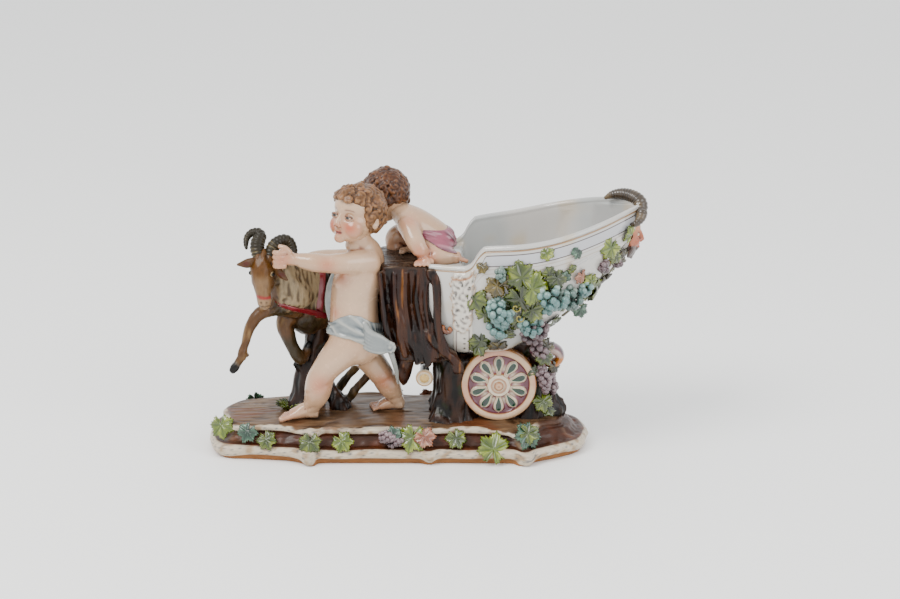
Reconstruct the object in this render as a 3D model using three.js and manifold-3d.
// Porcelain figure group, fired as one piece: a child leads a prancing goat that draws a shell-shaped
// chariot, a second child kneels on the hide over its front, and all of it stands on a scrolled base.
// Millimetres, +X along the chariot to the horned mask, +Y away from the front, +Z up.
// The origin is the centre of the base's flat underside.
import * as THREE from 'three';
import { mergeVertices } from 'three/addons/utils/BufferGeometryUtils.js';
import Module from 'manifold-3d';

const wasm = await Module();
wasm.setup();

// Driving sizes
const baseHalfLength = 164.5;
const baseHalfDepth = 58;
const baseTop = 30; // height of the ground the figures stand on
const wheelRadius = 32.9;
const wheelX = 87;
const wheelHeight = baseTop + wheelRadius - 0.8; // set a little into the ground
const wheelFace = 27; // how far each wheel's outer face is from the middle plane
const wheelThickness = 10;
const bowlWall = 5;
const bowlFront = 27; // x of the bowl's front wall, where it meets the hide
const bowlTail = 206; // x of the pointed end
const bowlDeck = 58; // x where the low deck ends and the hollow starts
const stepLead = 7; // how much nearer the front the far rim starts to rise
const hideTop = 171;
const sliverTolerance = 0.25;
const longestClosed = 7;
const glazeColour = '#efebe4';

// Solids

// A closed mesh whose faces may point either way becomes a solid that faces outwards.
function solid(geometry) {
  const bare = geometry.index ? geometry.toNonIndexed() : geometry.clone();
  for (const name of Object.keys(bare.attributes)) {
    if (name !== 'position') bare.deleteAttribute(name);
  }
  const merged = mergeVertices(bare, 1e-3);
  const positions = merged.attributes.position.array;
  const corners = new Uint32Array(merged.index.array);
  if (signedVolume(positions, corners) < 0) {
    for (let i = 0; i < corners.length; i += 3) {
      [corners[i + 1], corners[i + 2]] = [corners[i + 2], corners[i + 1]];
    }
  }
  return new wasm.Manifold(new wasm.Mesh({ numProp: 3, vertProperties: positions, triVerts: corners }));
}

function signedVolume(positions, corners) {
  const point = (i) => new THREE.Vector3().fromArray(positions, 3 * corners[i]);
  let sum = 0;
  for (let i = 0; i < corners.length; i += 3) {
    sum += point(i).dot(point(i + 1).cross(point(i + 2)));
  }
  return sum / 6;
}

const join = (...pieces) => pieces.flat().reduce((all, piece) => all.add(piece));

// A skin over a row of rings with as many points each, closed by a point at each end.
function skin(rings, startPoint, endPoint) {
  const sides = rings[0].length;
  const points = [startPoint, ...rings.flat(), endPoint];
  const last = points.length - 1;
  const faces = [];
  for (let k = 0; k < sides; k += 1) {
    const next = (k + 1) % sides;
    faces.push(0, 1 + next, 1 + k);
    faces.push(last, last - sides + k, last - sides + next);
    for (let row = 0; row < rings.length - 1; row += 1) {
      const low = 1 + row * sides;
      const high = low + sides;
      faces.push(low + k, low + next, high + k);
      faces.push(low + next, high + next, high + k);
    }
  }
  const geometry = new THREE.BufferGeometry().setFromPoints(points);
  geometry.setIndex(faces);
  return solid(geometry);
}

const middleOf = (ring) =>
  ring.reduce((sum, point) => sum.add(point), new THREE.Vector3()).divideScalar(ring.length);

// A rounded limb along a smooth path. Each station is [x, y, z, half width, half depth]; the width is
// measured along side, and the depth is the width where it is left out.
function limb(stations, { sides = 6, steps = 1, side = [0, 1, 0], round = 0.55 } = {}) {
  const path = new THREE.CatmullRomCurve3(stations.map((s) => new THREE.Vector3(s[0], s[1], s[2])));
  const girth = new THREE.CatmullRomCurve3(
    stations.map((s) => new THREE.Vector3(s[3], s[4] ?? s[3], 0)),
  );
  const count = (stations.length - 1) * steps;
  const rings = [];
  for (let i = 0; i <= count; i += 1) {
    const at = path.getPoint(i / count);
    const along = path.getTangent(i / count);
    const across = new THREE.Vector3(...side).addScaledVector(along, -along.dot(new THREE.Vector3(...side)));
    across.normalize();
    const deep = new THREE.Vector3().crossVectors(along, across);
    const size = girth.getPoint(i / count);
    rings.push(
      Array.from({ length: sides }, (_, k) => {
        const turn = (2 * Math.PI * k) / sides;
        return at
          .clone()
          .addScaledVector(across, size.x * Math.cos(turn))
          .addScaledVector(deep, size.y * Math.sin(turn));
      }),
    );
  }
  const first = stations[0];
  const end = stations[stations.length - 1];
  const capOf = (station, t, way) =>
    path.getPoint(t).addScaledVector(path.getTangent(t), way * round * station[3]);
  return skin(rings, capOf(first, 0, -1), capOf(end, 1, 1));
}

// An egg: a sphere stretched to three half sizes and turned by three angles in degrees.
function egg(at, half, turn = [0, 0, 0], across = 8, down = 6) {
  const shape = new THREE.SphereGeometry(1, across, down);
  shape.scale(...half);
  return solid(placed(shape, at, turn));
}

function placed(shape, at, turn = [0, 0, 0]) {
  const angles = turn.map((degrees) => THREE.MathUtils.degToRad(degrees));
  const place = new THREE.Matrix4().makeRotationFromEuler(new THREE.Euler(...angles));
  place.setPosition(...at);
  return shape.applyMatrix4(place);
}

// An egg covered with round knobs, for bunches of grapes
function knobbed(at, half, bump, across = 8, down = 6) {
  const shape = new THREE.SphereGeometry(1, across, down);
  moveRows(shape, across, down, (point, even) => point.multiplyScalar(even ? 1 + bump : 1 - bump / 2));
  shape.scale(...half);
  return solid(placed(shape, at));
}

// Gives each point of a ball, poles aside, a new place; even says on which colour of a chequerboard it is.
function moveRows(shape, across, down, change) {
  const points = shape.attributes.position;
  for (let i = 0; i < points.count; i += 1) {
    const row = Math.floor(i / (across + 1));
    const column = (i % (across + 1)) % across;
    if (row > 0 && row < down) {
      const point = change(new THREE.Vector3().fromBufferAttribute(points, i), (row + column) % 2 === 0);
      points.setXYZ(i, point.x, point.y, point.z);
    }
  }
}

// Value at x on a smooth line through [x, value] pairs.
function along(pairs, x) {
  const last = pairs.length - 1;
  if (x <= pairs[0][0]) return pairs[0][1];
  if (x >= pairs[last][0]) return pairs[last][1];
  const i = pairs.findIndex((pair) => pair[0] > x) - 1;
  const [x0, v0] = pairs[i];
  const [x1, v1] = pairs[i + 1];
  const share = (x - x0) / (x1 - x0);
  return v0 + (v1 - v0) * share;
}

// Base

// The outline along the front, from the left end to the right one; the back is its mirror. The third
// number tells how far the scrolled edge swells there and dips to the table.
const basePlan = [
  [-164.5, -4, 0.2], [-162, -24, 0.2], [-151, -40, 0.7], [-127, -47, 0], [-100, -51, 0], [-85, -56.5, 0.3],
  [-76, -60.5, 1], [-66, -57.5, 0], [-20, -57.6, 0], [17, -57.6, 0], [28, -59, 0.55], [39, -57.6, 0],
  [80, -57.8, 0], [101, -58, 0.2], [111, -60.5, 1], [121, -55, 0.2], [142, -44, 0], [159, -26, 0.5],
  [164.5, -5, 0.2],
];
const slabSetBack = 9; // how much further in the upper edge stands at the right end

// A ring round the base at a height: inset from the outline, swelling and dip at the knobs
function baseRing(height, inset, swell, dip) {
  const outline = [...basePlan, ...[...basePlan].reverse().map(([x, y, knob]) => [x, -y, knob])];
  return outline.map(([x, y, knob], k) => {
    const before = outline[(k + outline.length - 1) % outline.length];
    const after = outline[(k + 1) % outline.length];
    const out = new THREE.Vector2(after[1] - before[1], before[0] - after[0]).normalize();
    const back = height < 20 ? 0 : slabSetBack * THREE.MathUtils.smoothstep(x, 118, 152);
    return new THREE.Vector3(
      x * (1 - (inset + back) / baseHalfLength) + out.x * swell * knob,
      y * (1 - (inset + back) / baseHalfDepth) + out.y * swell * knob,
      Math.max(0, height - dip * knob),
    );
  });
}

function base() {
  const rings = [
    [0, 6, 5, 0],
    [4.6, 4.4, 4.5, 3.4],
    [7, 0.2, 3, 4.4],
    [12, 1, 4, 2],
    [14.2, 8.5, 1, 0],
    [21.3, 14.4, 1, 0],
    [25, 11.7, 4, 2.2],
    [28.8, 13.4, 3.8, 1.8],
    [29.6, 21, 0, 0],
    [30, 34, 0, 0],
  ].map((row) => baseRing(...row));
  return skin(rings, new THREE.Vector3(0, 0, 0), new THREE.Vector3(0, 0, baseTop));
}

// Tree trunk under the goat, and the rock under the chariot
function supports() {
  const trunk = limb(
    [
      [-84, 15, 24, 21, 17],
      [-80, 13, 40, 13.6, 13.8],
      [-79, 13, 56, 11.8, 12.4],
      [-73, 15, 80, 10.8, 10.2],
      [-67, 18, 102, 12],
    ],
    { sides: 6 },
  );
  const root = limb([
    [-66, 12, 52, 5],
    [-56, 8, 38, 8],
    [-50, 4, 28, 9],
  ]);
  const stub = limb([
    [-76, 12, 60, 5],
    [-86, 8, 65, 4],
    [-90, 6, 70, 3],
  ]);
  const rock = limb(
    [
      [78, 2, 24, 24, 56],
      [74, 1, 40, 17, 46],
      [76, 0, 62, 15, 40],
      [78, 0, 96, 18, 44],
    ],
    { sides: 9, round: 0.2 },
  );
  const stump = limb(
    [
      [50, 0, 24, 34, 24],
      [50, 0, 40, 30, 21],
      [49, 0, 62, 28, 18],
      [50, 0, 84, 30, 20],
    ],
    { sides: 9, round: 0.2 },
  );
  const stumpRoots = [-1, 1].map((way) =>
    limb([
      [38, way * 24, 26, 12, 14],
      [38, way * 22, 34, 8, 10],
      [40, way * 18, 50, 6, 8],
    ]),
  );
  const rockBehind = limb(
    [
      [112, 0, 24, 24, 22],
      [116, 0, 40, 20, 14],
      [118, 0, 60, 18, 10],
      [118, 0, 84, 18, 12],
    ],
    { sides: 8, round: 0.3 },
  );
  return join(trunk, root, stub, rock, stump, ...stumpRoots, rockBehind);
}

// Goat, with its head turned to the front
function goat() {
  const body = limb(
    [
      [-93, 14, 129, 17, 25],
      [-80, 15, 128, 20, 34],
      [-60, 24, 129, 20, 31],
      [-42, 28, 121, 18, 24],
      [-24, 31, 110, 16, 19],
      [-12, 32, 103, 10, 12],
    ],
    { sides: 8 },
  );
  const neck = limb(
    [
      [-80, 12, 140, 20, 26],
      [-92, 0, 150, 17, 22],
      [-102, -14, 160, 13, 16],
      [-107, -24, 168, 10, 12],
    ],
    { sides: 8 },
  );
  const fleece = limb(
    [
      [-96, -14, 158, 12, 10],
      [-94, -12, 146, 14, 16],
      [-92, -8, 137, 15, 18],
      [-94, -8, 129, 10, 12],
    ],
    { sides: 6 },
  );
  const head = limb(
    [
      [-112.6, -27, 177, 8.8, 9.4],
      [-113.8, -32.6, 168.4, 10.8, 11.6],
      [-113.4, -37, 156, 8.6, 9.6],
      [-112.2, -40, 146, 6.8, 7.4],
      [-111, -41, 138.6, 5.2, 5.4],
    ],
    { sides: 7, side: [1, 0, 0] },
  );
  const hornNear = limb(
    [
      [-107, -31, 176, 5.5],
      [-104.6, -28.4, 185.4, 5.5],
      [-97, -24.6, 191, 5],
      [-90, -24.4, 187.6, 4.6],
      [-88.6, -30, 178, 4],
      [-93, -36, 175.4, 3],
      [-98.4, -39.4, 179, 1.5],
    ],
    { sides: 6 },
  );
  const hornFar = limb(
    [
      [-116, -31, 178, 5.5],
      [-117.4, -26, 187.6, 6],
      [-116, -20.6, 193.6, 5.4],
      [-121.4, -16.4, 194.6, 4],
      [-127, -18.4, 191.6, 3],
      [-127.4, -24.4, 184, 1.5],
    ],
    { sides: 6 },
  );
  const earFar = limb(
    [
      [-117, -34, 174, 3, 2],
      [-125, -40, 174, 4, 2],
      [-133, -44, 175, 1],
    ],
    { sides: 6 },
  );
  const earNear = limb(
    [
      [-104, -32, 170, 3, 2],
      [-98, -38, 165, 4, 2],
      [-93, -42, 161, 1],
    ],
    { sides: 6 },
  );
  const forelegRaised = limb([
    [-88, -2, 126, 10, 11],
    [-104, -12, 127, 7],
    [-119, -19, 124, 6],
    [-127, -22, 112, 4.5],
    [-131, -25, 97, 3.6],
    [-133, -27, 91, 4.6],
    [-137, -28, 84, 3.6],
    [-142, -29, 77, 4.2, 3.4],
  ]);
  const forelegBent = limb([
    [-91, 6, 122, 11, 13],
    [-98, 0, 109, 8],
    [-95, -2, 98, 6.8],
    [-90.6, -2, 87, 5.8],
    [-84.6, -0.6, 78, 5.6],
    [-79, 5, 85, 4.2],
  ]);
  const hindNear = limb([
    [-26, 25, 104, 13, 14],
    [-36, 21, 88, 9, 10],
    [-28, 20, 72, 6],
    [-24, 20, 60, 4.6],
    [-34, 20, 47, 3.8],
    [-42, 20, 37, 4.4],
    [-46, 20, 28, 4.4],
  ]);
  const hindFar = limb([
    [-26, 37, 102, 12, 13],
    [-38, 38, 86, 9],
    [-35, 38, 72, 6],
    [-34, 38, 64, 4.6],
    [-46, 38, 48, 3.8],
    [-54, 38, 37, 4.4],
    [-58, 38, 28, 4.4],
  ]);
  const tail = limb([
    [-12, 32, 108, 4],
    [-3, 33, 104, 4],
    [2, 34, 94, 2.5],
  ]);
  return join(
    body, neck, fleece, head, hornNear, hornFar, earFar, earNear, forelegRaised, forelegBent,
    hindNear, hindFar, tail,
  );
}

// Children

// A head with its face along -X before it is turned: smooth in front, and knobbed with curls elsewhere.
function childHead(at, turn, size) {
  const across = 14;
  const down = 10;
  const shape = new THREE.SphereGeometry(1, across, down);
  shape.rotateX(Math.PI / 2);
  moveRows(shape, across, down, (point, even) => {
    const hairline = 0.55 - 0.75 * Math.max(0, point.z) - 0.3 * Math.max(0, -point.z);
    if (-point.x < hairline) return point.multiplyScalar(even ? 1.2 : 1.02);
    const chin = Math.exp(-(((point.z + 0.75) / 0.3) ** 2) - (point.y / 0.4) ** 2);
    const cheek = Math.exp(-(((point.z + 0.35) / 0.3) ** 2) - ((Math.abs(point.y) - 0.45) / 0.3) ** 2);
    return point.multiplyScalar(1 + 0.1 * chin + 0.08 * cheek);
  });
  shape.scale(22.5 * size, 20.5 * size, 23 * size);
  const turned = new THREE.Euler(...turn.map((degrees) => THREE.MathUtils.degToRad(degrees)));
  const nose = new THREE.Vector3(-22.5, 0, -4).multiplyScalar(size).applyEuler(turned);
  nose.add(new THREE.Vector3(...at));
  return join(solid(placed(shape, at, turn)), egg(nose.toArray(), [3.4, 2.8, 3.2], turn, 5, 4));
}

// A foot from heel to toes, and a hand from wrist to fingertips, both as short flattened limbs
const foot = (heel, toes) => {
  const mid = heel.map((value, i) => (value + toes[i]) / 2);
  return limb(
    [
      [...heel, 6, 5.5],
      [mid[0], mid[1], mid[2], 6.4, 4.6],
      [...toes, 5.4, 2.6],
    ],
    { sides: 6 },
  );
};

const hand = (wrist, tips, side) => {
  const mid = wrist.map((value, i) => (value + tips[i]) / 2);
  return limb(
    [
      [...wrist, 5.4, 4.4],
      [...mid, 6.6, 4],
      [...tips, 4.6, 2.6],
    ],
    { sides: 6, side },
  );
};

// The child that walks in front and holds the goat's horn
function leadingChild() {
  const torso = limb(
    [
      [-37, -16, 90, 22, 22],
      [-37, -16, 106, 23.4, 23.4],
      [-38.4, -16, 121, 21.8, 23],
      [-37, -16, 138, 20.8, 21.6],
      [-34.2, -16.4, 152, 22.4, 21.4],
      [-28.6, -17, 166.6, 21.8, 19.8],
      [-25.8, -19, 178, 14.6, 14.4],
      [-30.4, -24, 190, 9.8, 10.4],
      [-32, -26, 200, 9, 9.4],
    ],
    { sides: 9 },
  );
  const legFront = limb(
    [
      [-42, -24, 99, 17, 17],
      [-54, -27, 86.4, 15.4, 14.8],
      [-62.6, -28, 76, 12.6, 12.4],
      [-67.4, -27.4, 65, 11.8, 12],
      [-70, -25.4, 53, 10.8],
      [-75.6, -21.4, 39, 7.2],
    ],
    { sides: 7 },
  );
  const legRear = limb(
    [
      [-35, -10, 93, 15, 16],
      [-24.6, -7, 79, 12.9],
      [-16, -4.6, 66, 11.2],
      [-9, -1, 53, 10],
      [-3, 1, 42, 7.5],
      [-1, 2, 36, 6],
    ],
    { sides: 7 },
  );
  const armNear = limb(
    [
      [-21, -27, 173, 11.6],
      [-31, -33.6, 174, 11],
      [-44, -39.8, 174.6, 10],
      [-58, -42, 175.2, 9],
      [-68, -42, 176.2, 8.6],
      [-78, -41.4, 177.6, 7.2],
      [-86, -41, 178.8, 5.8],
    ],
    { sides: 6 },
  );
  const armFar = limb(
    [
      [-29, 0, 168, 10],
      [-42, 5, 166, 8.5],
      [-58, 8, 166, 7.5],
      [-72, 8, 166, 6],
      [-80, 6, 165, 5],
    ],
    { sides: 6 },
  );
  const cloth = limb(
    [
      [-38.6, -16, 124, 23, 24.4],
      [-38.6, -16, 115, 24.8, 26.2],
      [-37.6, -16.4, 105, 25.4, 26.2],
      [-35, -16.6, 96, 23.6, 24.6],
    ],
    { sides: 10, round: 0.1 },
  );
  const clothFall = limb(
    [
      [-31, -32, 108, 7, 10],
      [-21, -36.6, 105, 6, 11],
      [-13, -37.6, 102.4, 6, 8],
      [-6.4, -36.8, 100.2, 6.4, 6.4],
    ],
    { sides: 6 },
  );
  const clothEnd = limb(
    [
      [-6, -35, 96, 3, 3],
      [-3.6, -32, 87, 2.6],
      [-1.6, -27, 77, 2.4],
      [-0.4, -21, 67, 2],
      [0, -17, 60, 1.2],
    ],
    { sides: 6 },
  );
  return join(
    torso, childHead([-32.4, -26, 213.2], [0, 12, 48], 1.03), legFront, legRear,
    foot([-73, -20.4, 36], [-97, -22.4, 32.6]), foot([2, 2, 35], [-21, 4, 32]),
    armNear, hand([-88, -40, 180], [-99, -39, 180], [0, 0, 1]), armFar,
    hand([-80, 6, 165], [-89, 4, 163], [0, 0, 1]), cloth, clothFall, clothEnd,
  );
}

// The child that kneels on the hide and leans over its edge
function kneelingChild() {
  const torso = limb(
    [
      [38.6, 8, 177.4, 16.6, 13],
      [33.8, 7.4, 183.2, 19, 15],
      [26.6, 6.4, 190, 18.4, 14.4],
      [17, 5, 197.2, 18.8, 13.8],
      [9, 5.4, 202.8, 19.2, 12.6],
      [1.8, 9, 207.8, 10.8, 10.2],
      [-3.6, 14, 213.4, 8.6, 8.6],
    ],
    { sides: 8 },
  );
  const armNear = limb(
    [
      [8, -9, 200, 10],
      [11, -14.8, 196.4, 9.6],
      [16, -22, 188.6, 8.4],
      [20.6, -25, 181, 7.4],
      [22.4, -25.2, 176.4, 5.8],
    ],
    { sides: 6 },
  );
  const armFar = limb([
    [6, 13, 202, 9],
    [6, 16, 194, 8],
    [12, 14, 184, 6.5],
    [15, 10, 176, 6.4],
  ]);
  const legNear = limb(
    [
      [36, -2, 180, 13.2, 12.2],
      [27.6, -9.4, 176.8, 12, 10.8],
      [26, -15, 174.8, 10.4, 9.4],
      [36, -18, 175, 9.4, 8.8],
      [46, -18, 174.2, 7.4, 7],
      [51, -17.6, 173.4, 6, 5.8],
    ],
    { sides: 6 },
  );
  const legFar = limb(
    [
      [34, 18, 179, 12.4, 12],
      [20, 22, 181.4, 11.6],
      [6, 24, 183, 10.8],
      [-2, 23.4, 179, 9.4],
      [-1, 20, 171, 7],
    ],
    { sides: 6 },
  );
  const cloth = limb(
    [
      [27, 5.4, 187.6, 19.6, 16],
      [34.6, 7.4, 182.6, 20.6, 16.8],
      [41.6, 8.6, 176.4, 18.4, 13.8],
    ],
    { sides: 9, round: 0.35 },
  );
  return join(
    torso, childHead([-9.6, 17, 219], [0, -30, -52], 0.93), armNear, armFar, legNear, legFar, cloth,
    hand([22.6, -25.6, 176], [20.8, -33, 172.6], [1, 0, 0]),
    hand([14, 10, 176], [6, 7, 172.6], [1, 0, 0]),
    limb([[49, -17.6, 173.8, 4.8], [54.6, -17.2, 173, 4.4, 3.4], [58.4, -17, 172.4, 2.6]]),
  );
}

// Hide thrown over the chariot's front, with a fold that ends in a paw and one that hangs free
function hide() {
  const rows = [
    [hideTop, 8, 26, 34.4, 0],
    [hideTop - 2.6, 8, 27.6, 36.4, 0.6],
    [159, 9.5, 26.2, 35.6, 1.4],
    [137, 9, 23.4, 35.6, 2.2],
    [118, 13.4, 23.8, 36, 2.6],
    [100, 20, 25.6, 36.6, 2.4],
    [88, 24.6, 25.6, 34, 1.4],
    [84, 25.4, 22, 30, 1],
  ];
  const count = 28;
  const folds = 7;
  const boxy = (wave) => Math.sign(wave) * Math.abs(wave) ** 0.62;
  const rings = rows.map(([height, x, halfLength, halfDepth, flute]) =>
    Array.from({ length: count }, (_, k) => {
      const turn = (2 * Math.PI * (k + 0.5)) / count;
      const grow = 1 + (flute * Math.cos(folds * turn + height * 0.05)) / halfLength;
      return new THREE.Vector3(
        x + halfLength * grow * boxy(Math.cos(turn)),
        halfDepth * grow * boxy(Math.sin(turn)),
        height,
      );
    }),
  );
  const block = skin(rings, new THREE.Vector3(8, 0, hideTop), new THREE.Vector3(26, 0, 83));
  const paw = limb(
    [
      [26, -33, 112, 8, 5],
      [36, -35, 100, 8, 5],
      [46, -36, 92, 6, 5],
      [50.6, -36.8, 86.4, 5],
      [52.6, -38, 78.4, 4],
    ],
    { sides: 6 },
  );
  const lappet = limb(
    [
      [4, -20, 140, 15, 8],
      [2, -24, 112, 13, 7],
      [5, -24, 88, 9.6, 6],
      [5.4, -21, 73, 7, 5],
      [4.6, -18, 59, 2.2],
    ],
    { side: [1, 0, 0] },
  );
  const edgeFold = limb(
    [
      [30, -38, 166, 4.8, 3.4],
      [34, -41, 144, 4.2, 3.6],
      [34.6, -41.2, 116, 4.4, 3.8],
      [40, -38, 98, 5, 4],
    ],
    { sides: 5, side: [1, 0, 0] },
  );
  return join(block, paw, lappet, edgeFold);
}

// Chariot bowl

// Along the bowl: half its width at the rim, the heights of rim and keel, and how boxy its section is
const bowlWidth = [
  [bowlFront, 36], [45, 43], [70, 52], [100, 59], [128, 60], [150, 54], [172, 42], [190, 25], [bowlTail, 6],
];
const bowlRim = [
  [bowlFront, 170], [62.5, 175], [71.5, 189], [110, 194], [140, 200], [172, 208], [190, 212], [bowlTail, 215],
];
const bowlKeel = [
  [bowlFront, 96], [40, 91], [85, 88], [105, 95], [128, 111], [165, 141], [194, 173], [bowlTail, 193],
];
const bowlBox = [[bowlFront, 0.4], [70, 0.5], [110, 0.72], [bowlTail, 0.9]];

// A point of the bowl's outside: share runs from 0 at the rim to 1 at the keel; way is -1 at the front
function bowlPoint(x, share, way, inset = 0) {
  const turn = (share * Math.PI) / 2;
  const rim = along(bowlRim, x + (way > 0 ? stepLead : 0));
  const keel = along(bowlKeel, x) + inset;
  const width = Math.max(2, along(bowlWidth, x) - inset);
  return new THREE.Vector3(
    x,
    way * width * Math.max(0, Math.cos(turn)) ** along(bowlBox, x),
    rim - (rim - keel) * Math.sin(turn),
  );
}

const bowlStations = [bowlFront, 40, 55.5, 62.5, 71.5, 92, 112, 130, 146, 162, 177, 190, 200, bowlTail];
const bowlSteps = 5;

function bowlRing(x, inset, lift) {
  const half = (way) =>
    Array.from({ length: bowlSteps }, (_, i) => bowlPoint(x, i / bowlSteps, way, inset));
  const ring = [...half(-1), bowlPoint(x, 1, 1, inset), ...half(1).reverse()];
  ring[0].z += lift;
  ring[ring.length - 1].z += lift;
  return ring;
}

function bowl() {
  const outer = bowlStations.map((x) => bowlRing(x, 0, 0));
  return skin(outer, middleOf(outer[0]), middleOf(outer[outer.length - 1]));
}

// The space inside starts behind the deck that the kneeling child's foot rests on.
function hollow() {
  const inner = bowlStations.filter((x) => x > bowlDeck && x < 197).map((x) => bowlRing(x, bowlWall, 60));
  return skin(inner, middleOf(inner[0]), middleOf(inner[inner.length - 1]));
}

// A rolled edge that follows the rim
function bowlEdges() {
  return [-1, 1].map((way) => {
    const stations = bowlStations.map((x) => {
      const at = bowlPoint(x, 0, way, bowlWall / 2);
      return [at.x, at.y, at.z, 2.8];
    });
    return limb(stations, { sides: 4, round: 0.3 });
  });
}

// Flat pilaster with a scalloped cartouche on each side, near the bowl's front
function pilasters() {
  const scallops = [[8, 0.04], [10.5, 0.1], [8.5, 0.17], [10, 0.24], [7, 0.32], [7.5, 0.4], [3, 0.48]];
  return [-1, 1].flatMap((way) => {
    const at = (share) => bowlPoint(way < 0 ? 55 : 55 - stepLead, share, way);
    const strip = limb(
      [0.06, 0.35, 0.78].map((share) => {
        const point = at(share);
        return [point.x, point.y, point.z, 8.5, 2.4];
      }),
      { sides: 6, side: [1, 0, 0], round: 0.2 },
    );
    const cartouche = limb(
      scallops.map(([width, share]) => {
        const point = at(share);
        return [point.x, point.y + way * 1.2, point.z, width, 3.4];
      }),
      { sides: 6, side: [1, 0, 0], round: 0.3 },
    );
    return way < 0 ? [strip, cartouche] : [strip];
  });
}

// Wheel: a rounded tyre, ten petals and a turned hub. Each row is a radius, its height between two
// petals and its height on a petal.
const wheelRows = [
  [4, 4.2, 4.2], [5, 2.2, 2.2], [9.4, 2, 2], [11, -2.4, -1], [17, -2.4, 0.6], [24, -2.4, -1],
  [26, 0.6, 0.6], [30, 0.6, 0.6], [32, -2, -2], [32, -8, -8], [30, -10, -10],
];

function wheel(way) {
  const count = 20;
  const rings = wheelRows.map(([radius, between, petal]) =>
    Array.from({ length: count }, (_, k) => {
      const turn = (2 * Math.PI * k) / count;
      const reach = (radius / 32) * wheelRadius;
      const out = k % 2 === 0 ? petal : between;
      return new THREE.Vector3(
        wheelX + reach * Math.sin(turn),
        way * (wheelFace + out),
        wheelHeight + reach * Math.cos(turn),
      );
    }),
  );
  const centre = (out) => new THREE.Vector3(wheelX, way * (wheelFace + out), wheelHeight);
  return skin(rings, centre(4.6), centre(-wheelThickness));
}

// The pole's cross bar with a turned knob at each end, held by the rock
function crossBar() {
  return join(
    limb([[23, -33, 70, 7.4], [23, -28, 70, 7.4], [23, -26, 70, 4]], { side: [1, 0, 0], round: 0.1 }),
    limb([[23, 33, 70, 7.4], [23, 28, 70, 7.4], [23, 26, 70, 4]], { side: [1, 0, 0], round: 0.1 }),
    limb([[23, -28, 70, 4], [23, 28, 70, 4]], { side: [1, 0, 0], sides: 6 }),
    limb([[23, 0, 70, 7, 8], [50, 0, 74, 8, 10]]),
  );
}

// Horned mask on the bowl's pointed end
function mask() {
  const face = egg([199.6, 0, 189], [8, 12, 16], [0, -12, 0]);
  const nose = egg([207.6, 0, 185], [3, 2.6, 5.4], [0, -12, 0], 5, 4);
  const beard = egg([198.6, 0, 174], [5, 8, 6], [0, -12, 0], 6, 4);
  const hornFar = limb(
    [
      [206, 5, 205, 5],
      [207.6, 9, 214.6, 5.8],
      [201, 13.6, 219.4, 5.6],
      [190, 19, 220, 4.4],
      [179.4, 22.4, 216, 2],
    ],
    { sides: 6 },
  );
  const hornNear = limb(
    [
      [204, -4.6, 204.4, 4.8],
      [207.4, -8, 210.6, 5],
      [207.8, -13.6, 209.6, 4.4],
      [203.4, -17, 204, 3.4],
      [199, -16.6, 202, 1.9],
    ],
    { sides: 6 },
  );
  return join(face, nose, beard, hornFar, hornNear);
}

// Scroll on the rock behind the wheels
function tailScroll() {
  return join(
    limb([
      [110, -6, 78, 9, 6],
      [121, -8, 87, 10, 5.4],
      [131, -8, 90.4, 10, 5],
      [139.6, -8, 85, 9.6, 4.6],
      [136, -8, 76.6, 9, 3.8],
      [129, -8, 77.4, 8.6, 3.4],
    ]),
    limb([
      [118, 6, 84, 8],
      [121, 4, 66, 7.4],
      [125, 2, 50, 9.4],
      [131, 0, 38, 11],
      [136, -2, 27, 12],
    ]),
  );
}

// Vine leaves and grapes

// A five-lobed leaf, creased from its raised middle to its edge; out is the way that it faces, and pad
// is how far the clay that holds it reaches behind it.
function leaf(at, out, size, spin = 0, thick = 2.4, pad = thick) {
  const facing = new THREE.Quaternion().setFromUnitVectors(
    new THREE.Vector3(0, 0, 1),
    new THREE.Vector3(...out).normalize(),
  );
  const place = (x, y, z) => new THREE.Vector3(x, y, z).applyQuaternion(facing).add(new THREE.Vector3(...at));
  const lobes = 5;
  const rim = Array.from({ length: 2 * lobes }, (_, k) => {
    const turn = (Math.PI * k) / lobes + THREE.MathUtils.degToRad(spin);
    const reach = k % 2 === 0 ? size : size * 0.66;
    return place(reach * Math.sin(turn), reach * Math.cos(turn), k % 2 === 0 ? 0.4 : -0.4);
  });
  return skin([rim], place(0, 0, thick), place(0, 0, -pad));
}

// A bunch that hangs from its top
function grapes(at, length, radius, bump) {
  return knobbed([at[0], at[1], at[2] - length * 0.42], [radius, radius * 0.75, length / 2], bump);
}

// Leaves on the bowl: place along it, share down its side, size and spin
const bowlLeaves = [
  [106, 0.36, 15, 10],
  [78, 0.34, 12, 60],
  [67, 0.12, 9, -20],
  [106, 0.62, 13, 170],
  [133, 0.33, 10, 30],
  [128, 0.08, 6, 0],
  [180, 0.22, 9, -30],
  [168, 0.6, 11, 140],
];
const bowlGrapes = [
  [88, 0.45, 29, 13.4, 0.2],
  [129, 0.48, 23, 14.6, 0.18],
  [113, 0.74, 21, 13, 0.2],
];

function bowlVines() {
  const pieces = [];
  for (const way of [-1, 1]) {
    const leaves = way < 0 ? bowlLeaves : bowlLeaves.slice(0, 6);
    for (const [x, share, size, spin] of leaves) {
      const at = bowlPoint(x, share, way);
      pieces.push(leaf([at.x, at.y + way * 1.2, at.z], [0.05, way, -0.15 - share * 0.5], size, spin * way));
    }
    for (const [x, share, length, radius, bump] of way < 0 ? bowlGrapes : bowlGrapes.slice(0, 2)) {
      const at = bowlPoint(x, share, way);
      pieces.push(grapes([at.x, at.y, at.z + 4], length, radius, bump));
    }
  }
  pieces.push(grapes([141, -8, 76], 28, 9, 0.2));
  const spray = [knobbed([164, -4, 138], [12, 10, 8], 0.2), knobbed([188, -2, 164], [9, 9, 9], 0.2)];
  return join(...pieces, ...spray);
}

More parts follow.
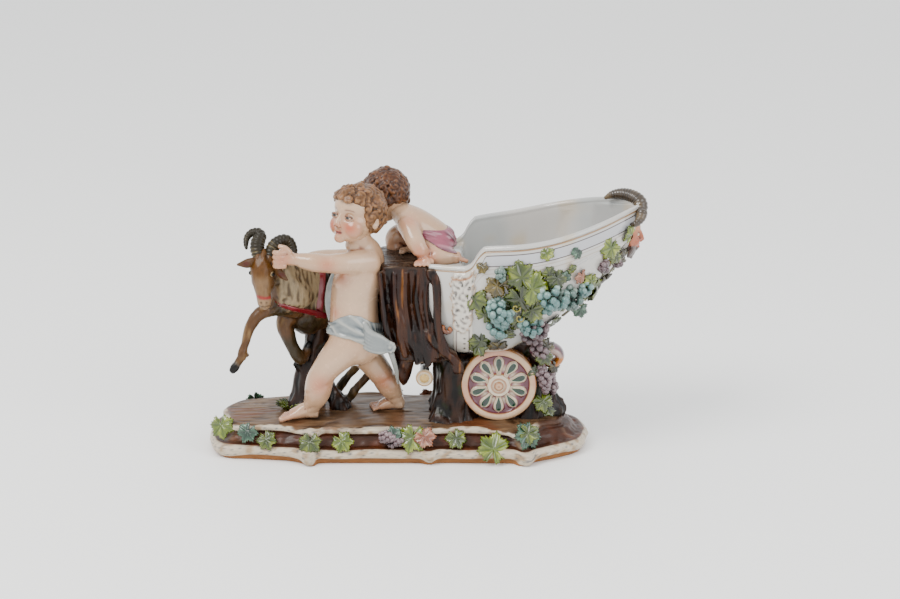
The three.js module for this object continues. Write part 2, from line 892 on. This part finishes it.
// Leaves over the base's rim: place, size and spin; the back has every other one
const baseLeaves = [
  [-151, -32, 23, 11.5, 10],
  [-130, -45, 22, 9.5, -20],
  [-112, -49, 17.6, 9.5, 30],
  [-75, -59, 18, 10.5, 0],
  [-46, -55, 18.6, 10, 40],
  [12, -55.6, 20.6, 12.6, -15],
  [25, -55.6, 22, 10, 30],
  [51, -55, 21, 10, 20],
  [83, -56.4, 17.6, 14, 15],
  [112, -55, 23, 12, -30],
];

const leafPad = 13;

function baseVines() {
  const front = baseLeaves.map(([x, y, z, size, spin]) =>
    leaf([x, y, z], [x / 420, -1, 0.5], size, spin, 2.6, leafPad),
  );
  const back = baseLeaves
    .filter((_, i) => i % 2 === 1)
    .map(([x, y, z, size, spin]) => leaf([x, -y, z], [x / 420, 1, 0.5], size, spin, 2.6, leafPad));
  const bunch = knobbed([-5, -52, 22.6], [12, 7.6, 6.6], 0.16, 10, 6);
  const grass = leaf([-94, 4, 31.5], [0, -0.3, 1], 13, 0, 3);
  const sprig = leaf([134, -14, 33], [0.2, -0.6, 1], 11, 20, 3);
  return join(...front, ...back, bunch, grass, sprig);
}

// The joins leave slivers along their seams. An edge is closed up where that moves no face by more than
// the tolerance, turns none over and leaves the skin whole.
function thinned(mesh, tolerance) {
  const points = [];
  for (let i = 0; i < mesh.vertProperties.length; i += 3) {
    points.push(new THREE.Vector3().fromArray(mesh.vertProperties, i));
  }
  const faces = [];
  for (let i = 0; i < mesh.triVerts.length; i += 3) faces.push([...mesh.triVerts.slice(i, i + 3)]);
  const around = points.map(() => new Set());
  faces.forEach((face, i) => face.forEach((corner) => around[corner].add(i)));
  const neighbours = (a) => new Set([...around[a]].flatMap((i) => faces[i]).filter((b) => b !== a));
  const normalOf = ([a, b, c]) =>
    new THREE.Vector3().subVectors(b, a).cross(new THREE.Vector3().subVectors(c, a));

  // How far the faces round a and b would move if both points went to place; infinite if one turns over.
  function cost(a, b, place) {
    let worst = 0;
    for (const i of new Set([...around[a], ...around[b]])) {
      const face = faces[i];
      const before = normalOf(face.map((corner) => points[corner]));
      const size = before.length();
      if (size > 1e-3) {
        worst = Math.max(worst, Math.abs(before.dot(place.clone().sub(points[face[0]]))) / size);
        const moved = face.map((corner) => (corner === a || corner === b ? place : points[corner]));
        const after = normalOf(moved);
        const longest = Math.max(...moved.map((point, k) => point.distanceTo(moved[(k + 1) % 3])));
        const goes = face.includes(a) && face.includes(b);
        if (!goes && after.length() < Math.min(size, 0.04 * longest * longest)) return Infinity;
        if (!goes && after.dot(before) <= 0.3 * after.length() * size) return Infinity;
      }
    }
    return worst;
  }

  function close(a, b) {
    const shared = [...neighbours(a)].filter((c) => neighbours(b).has(c));
    if (shared.length !== 2) return false;
    const choices = [points[a], points[b], points[a].clone().lerp(points[b], 0.5)];
    const costs = choices.map((place) => cost(a, b, place));
    const best = Math.min(...costs);
    if (best > tolerance) return false;
    points[a] = choices[costs.indexOf(best)].clone();
    for (const i of [...around[b]]) {
      if (faces[i].includes(a)) faces[i].forEach((corner) => around[corner].delete(i));
      else {
        faces[i] = faces[i].map((corner) => (corner === b ? a : corner));
        around[a].add(i);
      }
    }
    around[b].clear();
    return true;
  }

  let closed = true;
  while (closed) {
    closed = false;
    for (let a = 0; a < points.length; a += 1) {
      const reach = (b) => points[a].distanceTo(points[b]);
      const near = [...neighbours(a)].sort((b, c) => reach(b) - reach(c));
      const found = near.find((b) => reach(b) < longestClosed && close(a, b));
      if (found !== undefined) closed = true;
    }
  }
  const kept = faces.filter((face, i) => around[face[0]].has(i));
  const flat = new THREE.BufferGeometry().setFromPoints(kept.flat().map((corner) => points[corner]));
  return mergeVertices(flat, 1e-4);
}

const group = new THREE.Group();
const chariot = join(bowl(), ...bowlEdges(), ...pilasters(), mask(), bowlVines()).subtract(hollow());
const whole = join(
  base(), supports(), goat(), leadingChild(), kneelingChild(), hide(), chariot, wheel(-1), wheel(1),
  crossBar(), tailScroll(), baseVines(),
);
const geometry = thinned(whole.getMesh(), sliverTolerance);
const glaze = new THREE.MeshStandardMaterial({ color: glazeColour, roughness: 0.18, metalness: 0 });
const figureGroup = new THREE.Mesh(geometry, glaze);
figureGroup.name = 'figure_group';
group.add(figureGroup);

export default group;
